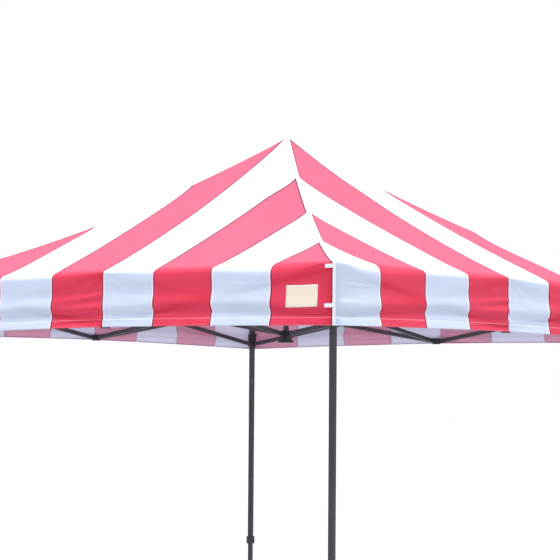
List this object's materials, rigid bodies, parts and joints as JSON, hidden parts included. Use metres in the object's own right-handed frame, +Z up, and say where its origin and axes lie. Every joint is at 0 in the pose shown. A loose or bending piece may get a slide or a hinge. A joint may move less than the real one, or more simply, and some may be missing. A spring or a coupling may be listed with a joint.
{
  "type": "pop-up canopy tent",
  "caption": "Folding pop-up canopy tent with a striped pyramid cover, straight valances, scissor truss frame and square telescoping legs.",
  "frame": {"origin": "on the ground under the peak, at the middle of the four feet", "axes": "+Z up through the mast, +X and +Y along the sides of the square; the front side faces -Y"},
  "size_m": [3.1, 3.1, 3.1073],
  "materials": {
    "canopy_cloth": "coated polyester weave with red and white stripes",
    "frame_steel": "charcoal powder coat",
    "bracket_plastic": "black moulded nylon"
  },
  "bodies": {
    "centre": {"centre_mast": "frame_steel", "peak_cap": "bracket_plastic", "upper_hub": "bracket_plastic"},
    "front_inner_bar_down": {"front_inner_bar_down": "frame_steel"},
    "front_inner_bar_up": {"front_inner_bar_up": "frame_steel"},
    "front_top_block": {"front_top_block": "bracket_plastic"},
    "front_low_block": {"front_low_block": "bracket_plastic"},
    "lower_hub": {"lower_hub": "bracket_plastic"},
    "front_right_bar_up": {"front_right_bar_up": "frame_steel"},
    "front_right_bar_down": {"front_right_bar_down": "frame_steel"},
    "front_right_leg": {"front_right_leg_cap": "bracket_plastic", "front_right_upper_tube": "frame_steel", "front_right_lower_leg": "frame_steel"},
    "front_right_slider": {"front_right_slider": "bracket_plastic"},
    "front_left_bar_up": {"front_left_bar_up": "frame_steel"},
    "front_left_bar_down": {"front_left_bar_down": "frame_steel"},
    "front_cover": {"front_cover": "canopy_cloth"},
    "right_inner_bar_down": {"right_inner_bar_down": "frame_steel"},
    "right_inner_bar_up": {"right_inner_bar_up": "frame_steel"},
    "right_top_block": {"right_top_block": "bracket_plastic"},
    "right_low_block": {"right_low_block": "bracket_plastic"},
    "right_right_bar_up": {"right_right_bar_up": "frame_steel"},
    "right_right_bar_down": {"right_right_bar_down": "frame_steel"},
    "back_right_leg": {"back_right_leg_cap": "bracket_plastic", "back_right_upper_tube": "frame_steel", "back_right_lower_leg": "frame_steel"},
    "back_right_slider": {"back_right_slider": "bracket_plastic"},
    "right_left_bar_up": {"right_left_bar_up": "frame_steel"},
    "right_left_bar_down": {"right_left_bar_down": "frame_steel"},
    "right_cover": {"right_cover": "canopy_cloth"},
    "back_inner_bar_down": {"back_inner_bar_down": "frame_steel"},
    "back_inner_bar_up": {"back_inner_bar_up": "frame_steel"},
    "back_top_block": {"back_top_block": "bracket_plastic"},
    "back_low_block": {"back_low_block": "bracket_plastic"},
    "back_right_bar_up": {"back_right_bar_up": "frame_steel"},
    "back_right_bar_down": {"back_right_bar_down": "frame_steel"},
    "back_left_leg": {"back_left_leg_cap": "bracket_plastic", "back_left_upper_tube": "frame_steel", "back_left_lower_leg": "frame_steel"},
    "back_left_slider": {"back_left_slider": "bracket_plastic"},
    "back_left_bar_up": {"back_left_bar_up": "frame_steel"},
    "back_left_bar_down": {"back_left_bar_down": "frame_steel"},
    "back_cover": {"back_cover": "canopy_cloth"},
    "left_inner_bar_down": {"left_inner_bar_down": "frame_steel"},
    "left_inner_bar_up": {"left_inner_bar_up": "frame_steel"},
    "left_top_block": {"left_top_block": "bracket_plastic"},
    "left_low_block": {"left_low_block": "bracket_plastic"},
    "left_right_bar_up": {"left_right_bar_up": "frame_steel"},
    "left_right_bar_down": {"left_right_bar_down": "frame_steel"},
    "front_left_leg": {"front_left_leg_cap": "bracket_plastic", "front_left_upper_tube": "frame_steel", "front_left_lower_leg": "frame_steel"},
    "front_left_slider": {"front_left_slider": "bracket_plastic"},
    "left_left_bar_up": {"left_left_bar_up": "frame_steel"},
    "left_left_bar_down": {"left_left_bar_down": "frame_steel"},
    "left_cover": {"left_cover": "canopy_cloth"}
  },
  "joints": [
    {"name": "frame_fold", "type": "hinge", "parent": "centre", "child": "front_inner_bar_down", "pos_m": [0, -0.042, 2.21], "axis": [1, 0, 0], "range_deg": [0, 74.2]},
    {"name": "front_inner_cross_pivot", "type": "hinge", "parent": "front_inner_bar_down", "child": "front_inner_bar_up", "pos_m": [0, -0.751, 2.094], "axis": [-1, 0, 0], "range_deg": [0, 148.42]},
    {"name": "front_top_block_pivot", "type": "hinge", "parent": "front_inner_bar_up", "child": "front_top_block", "pos_m": [0, -1.46, 2.21], "axis": [1, 0, 0], "range_deg": [0, 74.22]},
    {"name": "front_low_block_pivot", "type": "hinge", "parent": "front_inner_bar_down", "child": "front_low_block", "pos_m": [0, -1.46, 1.978], "axis": [-1, 0, 0], "range_deg": [0, 74.22]},
    {"name": "lower_hub_pivot", "type": "hinge", "parent": "front_inner_bar_up", "child": "lower_hub", "pos_m": [0, -0.042, 1.978], "axis": [1, 0, 0], "range_deg": [0, 74.22]},
    {"name": "front_right_low_pivot", "type": "hinge", "parent": "front_low_block", "child": "front_right_bar_up", "pos_m": [0.04, -1.5, 1.978], "axis": [0, -1, 0], "range_deg": [0, 74.22]},
    {"name": "front_right_top_pivot", "type": "hinge", "parent": "front_top_block", "child": "front_right_bar_down", "pos_m": [0.04, -1.5, 2.21], "axis": [0, 1, 0], "range_deg": [0, 74.22]},
    {"name": "front_right_leg_pivot", "type": "hinge", "parent": "front_right_bar_up", "child": "front_right_leg", "pos_m": [1.458, -1.5, 2.21], "axis": [0, 1, 0], "range_deg": [0, 74.22]},
    {"name": "front_right_slider_pivot", "type": "hinge", "parent": "front_right_bar_down", "child": "front_right_slider", "pos_m": [1.458, -1.5, 1.978], "axis": [0, -1, 0], "range_deg": [0, 74.22]},
    {"name": "front_left_low_pivot", "type": "hinge", "parent": "front_low_block", "child": "front_left_bar_up", "pos_m": [-0.04, -1.5, 1.978], "axis": [0, 1, 0], "range_deg": [0, 74.22]},
    {"name": "front_left_top_pivot", "type": "hinge", "parent": "front_top_block", "child": "front_left_bar_down", "pos_m": [-0.04, -1.5, 2.21], "axis": [0, -1, 0], "range_deg": [0, 74.22]},
    {"name": "front_cover_fold", "type": "hinge", "parent": "centre", "child": "front_cover", "pos_m": [0, 0, 3.11], "axis": [1, 0, 0], "range_deg": [0, 35.52], "deforming": ["front_cover"]},
    {"name": "right_inner_hub_pivot", "type": "hinge", "parent": "centre", "child": "right_inner_bar_down", "pos_m": [0.042, 0, 2.21], "axis": [0, 1, 0], "range_deg": [0, 74.22]},
    {"name": "right_inner_cross_pivot", "type": "hinge", "parent": "right_inner_bar_down", "child": "right_inner_bar_up", "pos_m": [0.751, 0, 2.094], "axis": [0, -1, 0], "range_deg": [0, 148.42]},
    {"name": "right_top_block_pivot", "type": "hinge", "parent": "right_inner_bar_up", "child": "right_top_block", "pos_m": [1.46, 0, 2.21], "axis": [0, 1, 0], "range_deg": [0, 74.22]},
    {"name": "right_low_block_pivot", "type": "hinge", "parent": "right_inner_bar_down", "child": "right_low_block", "pos_m": [1.46, 0, 1.978], "axis": [0, -1, 0], "range_deg": [0, 74.22]},
    {"name": "right_right_low_pivot", "type": "hinge", "parent": "right_low_block", "child": "right_right_bar_up", "pos_m": [1.5, 0.04, 1.978], "axis": [1, 0, 0], "range_deg": [0, 74.22]},
    {"name": "right_right_top_pivot", "type": "hinge", "parent": "right_top_block", "child": "right_right_bar_down", "pos_m": [1.5, 0.04, 2.21], "axis": [-1, 0, 0], "range_deg": [0, 74.22]},
    {"name": "back_right_leg_pivot", "type": "hinge", "parent": "right_right_bar_up", "child": "back_right_leg", "pos_m": [1.5, 1.458, 2.21], "axis": [-1, 0, 0], "range_deg": [0, 74.22]},
    {"name": "back_right_slider_pivot", "type": "hinge", "parent": "right_right_bar_down", "child": "back_right_slider", "pos_m": [1.5, 1.458, 1.978], "axis": [1, 0, 0], "range_deg": [0, 74.22]},
    {"name": "right_left_low_pivot", "type": "hinge", "parent": "right_low_block", "child": "right_left_bar_up", "pos_m": [1.5, -0.04, 1.978], "axis": [-1, 0, 0], "range_deg": [0, 74.22]},
    {"name": "right_left_top_pivot", "type": "hinge", "parent": "right_top_block", "child": "right_left_bar_down", "pos_m": [1.5, -0.04, 2.21], "axis": [1, 0, 0], "range_deg": [0, 74.22]},
    {"name": "right_cover_fold", "type": "hinge", "parent": "centre", "child": "right_cover", "pos_m": [0, 0, 3.11], "axis": [0, 1, 0], "range_deg": [0, 35.52], "deforming": ["right_cover"]},
    {"name": "back_inner_hub_pivot", "type": "hinge", "parent": "centre", "child": "back_inner_bar_down", "pos_m": [0, 0.042, 2.21], "axis": [-1, 0, 0], "range_deg": [0, 74.22]},
    {"name": "back_inner_cross_pivot", "type": "hinge", "parent": "back_inner_bar_down", "child": "back_inner_bar_up", "pos_m": [0, 0.751, 2.094], "axis": [1, 0, 0], "range_deg": [0, 148.42]},
    {"name": "back_top_block_pivot", "type": "hinge", "parent": "back_inner_bar_up", "child": "back_top_block", "pos_m": [0, 1.46, 2.21], "axis": [-1, 0, 0], "range_deg": [0, 74.22]},
    {"name": "back_low_block_pivot", "type": "hinge", "parent": "back_inner_bar_down", "child": "back_low_block", "pos_m": [0, 1.46, 1.978], "axis": [1, 0, 0], "range_deg": [0, 74.22]},
    {"name": "back_right_low_pivot", "type": "hinge", "parent": "back_low_block", "child": "back_right_bar_up", "pos_m": [-0.04, 1.5, 1.978], "axis": [0, 1, 0], "range_deg": [0, 74.22]},
    {"name": "back_right_top_pivot", "type": "hinge", "parent": "back_top_block", "child": "back_right_bar_down", "pos_m": [-0.04, 1.5, 2.21], "axis": [0, -1, 0], "range_deg": [0, 74.22]},
    {"name": "back_left_leg_pivot", "type": "hinge", "parent": "back_right_bar_up", "child": "back_left_leg", "pos_m": [-1.458, 1.5, 2.21], "axis": [0, -1, 0], "range_deg": [0, 74.22]},
    {"name": "back_left_slider_pivot", "type": "hinge", "parent": "back_right_bar_down", "child": "back_left_slider", "pos_m": [-1.458, 1.5, 1.978], "axis": [0, 1, 0], "range_deg": [0, 74.22]},
    {"name": "back_left_low_pivot", "type": "hinge", "parent": "back_low_block", "child": "back_left_bar_up", "pos_m": [0.04, 1.5, 1.978], "axis": [0, -1, 0], "range_deg": [0, 74.22]},
    {"name": "back_left_top_pivot", "type": "hinge", "parent": "back_top_block", "child": "back_left_bar_down", "pos_m": [0.04, 1.5, 2.21], "axis": [0, 1, 0], "range_deg": [0, 74.22]},
    {"name": "back_cover_fold", "type": "hinge", "parent": "centre", "child": "back_cover", "pos_m": [0, 0, 3.11], "axis": [-1, 0, 0], "range_deg": [0, 35.52], "deforming": ["back_cover"]},
    {"name": "left_inner_hub_pivot", "type": "hinge", "parent": "centre", "child": "left_inner_bar_down", "pos_m": [-0.042, 0, 2.21], "axis": [0, -1, 0], "range_deg": [0, 74.22]},
    {"name": "left_inner_cross_pivot", "type": "hinge", "parent": "left_inner_bar_down", "child": "left_inner_bar_up", "pos_m": [-0.751, 0, 2.094], "axis": [0, 1, 0], "range_deg": [0, 148.42]},
    {"name": "left_top_block_pivot", "type": "hinge", "parent": "left_inner_bar_up", "child": "left_top_block", "pos_m": [-1.46, 0, 2.21], "axis": [0, -1, 0], "range_deg": [0, 74.22]},
    {"name": "left_low_block_pivot", "type": "hinge", "parent": "left_inner_bar_down", "child": "left_low_block", "pos_m": [-1.46, 0, 1.978], "axis": [0, 1, 0], "range_deg": [0, 74.22]},
    {"name": "left_right_low_pivot", "type": "hinge", "parent": "left_low_block", "child": "left_right_bar_up", "pos_m": [-1.5, -0.04, 1.978], "axis": [-1, 0, 0], "range_deg": [0, 74.22]},
    {"name": "left_right_top_pivot", "type": "hinge", "parent": "left_top_block", "child": "left_right_bar_down", "pos_m": [-1.5, -0.04, 2.21], "axis": [1, 0, 0], "range_deg": [0, 74.22]},
    {"name": "front_left_leg_pivot", "type": "hinge", "parent": "left_right_bar_up", "child": "front_left_leg", "pos_m": [-1.5, -1.458, 2.21], "axis": [1, 0, 0], "range_deg": [0, 74.22]},
    {"name": "front_left_slider_pivot", "type": "hinge", "parent": "left_right_bar_down", "child": "front_left_slider", "pos_m": [-1.5, -1.458, 1.978], "axis": [-1, 0, 0], "range_deg": [0, 74.22]},
    {"name": "left_left_low_pivot", "type": "hinge", "parent": "left_low_block", "child": "left_left_bar_up", "pos_m": [-1.5, 0.04, 1.978], "axis": [1, 0, 0], "range_deg": [0, 74.22]},
    {"name": "left_left_top_pivot", "type": "hinge", "parent": "left_top_block", "child": "left_left_bar_down", "pos_m": [-1.5, 0.04, 2.21], "axis": [-1, 0, 0], "range_deg": [0, 74.22]},
    {"name": "left_cover_fold", "type": "hinge", "parent": "centre", "child": "left_cover", "pos_m": [0, 0, 3.11], "axis": [0, -1, 0], "range_deg": [0, 35.52], "deforming": ["left_cover"]}
  ],
  "couplings": [
    {"joint": "front_inner_cross_pivot", "follows": "frame_fold", "ratio": 2},
    {"joint": "front_top_block_pivot", "follows": "frame_fold", "ratio": 1},
    {"joint": "front_low_block_pivot", "follows": "frame_fold", "ratio": 1},
    {"joint": "lower_hub_pivot", "follows": "frame_fold", "ratio": 1},
    {"joint": "front_right_low_pivot", "follows": "frame_fold", "ratio": 1},
    {"joint": "front_right_top_pivot", "follows": "frame_fold", "ratio": 1},
    {"joint": "front_right_leg_pivot", "follows": "frame_fold", "ratio": 1},
    {"joint": "front_right_slider_pivot", "follows": "frame_fold", "ratio": 1},
    {"joint": "front_left_low_pivot", "follows": "frame_fold", "ratio": 1},
    {"joint": "front_left_top_pivot", "follows": "frame_fold", "ratio": 1},
    {"joint": "front_cover_fold", "follows": "frame_fold", "ratio": 0.47844},
    {"joint": "right_inner_hub_pivot", "follows": "frame_fold", "ratio": 1},
    {"joint": "right_inner_cross_pivot", "follows": "frame_fold", "ratio": 2},
    {"joint": "right_top_block_pivot", "follows": "frame_fold", "ratio": 1},
    {"joint": "right_low_block_pivot", "follows": "frame_fold", "ratio": 1},
    {"joint": "right_right_low_pivot", "follows": "frame_fold", "ratio": 1},
    {"joint": "right_right_top_pivot", "follows": "frame_fold", "ratio": 1},
    {"joint": "back_right_leg_pivot", "follows": "frame_fold", "ratio": 1},
    {"joint": "back_right_slider_pivot", "follows": "frame_fold", "ratio": 1},
    {"joint": "right_left_low_pivot", "follows": "frame_fold", "ratio": 1},
    {"joint": "right_left_top_pivot", "follows": "frame_fold", "ratio": 1},
    {"joint": "right_cover_fold", "follows": "frame_fold", "ratio": 0.47844},
    {"joint": "back_inner_hub_pivot", "follows": "frame_fold", "ratio": 1},
    {"joint": "back_inner_cross_pivot", "follows": "frame_fold", "ratio": 2},
    {"joint": "back_top_block_pivot", "follows": "frame_fold", "ratio": 1},
    {"joint": "back_low_block_pivot", "follows": "frame_fold", "ratio": 1},
    {"joint": "back_right_low_pivot", "follows": "frame_fold", "ratio": 1},
    {"joint": "back_right_top_pivot", "follows": "frame_fold", "ratio": 1},
    {"joint": "back_left_leg_pivot", "follows": "frame_fold", "ratio": 1},
    {"joint": "back_left_slider_pivot", "follows": "frame_fold", "ratio": 1},
    {"joint": "back_left_low_pivot", "follows": "frame_fold", "ratio": 1},
    {"joint": "back_left_top_pivot", "follows": "frame_fold", "ratio": 1},
    {"joint": "back_cover_fold", "follows": "frame_fold", "ratio": 0.47844},
    {"joint": "left_inner_hub_pivot", "follows": "frame_fold", "ratio": 1},
    {"joint": "left_inner_cross_pivot", "follows": "frame_fold", "ratio": 2},
    {"joint": "left_top_block_pivot", "follows": "frame_fold", "ratio": 1},
    {"joint": "left_low_block_pivot", "follows": "frame_fold", "ratio": 1},
    {"joint": "left_right_low_pivot", "follows": "frame_fold", "ratio": 1},
    {"joint": "left_right_top_pivot", "follows": "frame_fold", "ratio": 1},
    {"joint": "front_left_leg_pivot", "follows": "frame_fold", "ratio": 1},
    {"joint": "front_left_slider_pivot", "follows": "frame_fold", "ratio": 1},
    {"joint": "left_left_low_pivot", "follows": "frame_fold", "ratio": 1},
    {"joint": "left_left_top_pivot", "follows": "frame_fold", "ratio": 1},
    {"joint": "left_cover_fold", "follows": "frame_fold", "ratio": 0.47844}
  ]
}
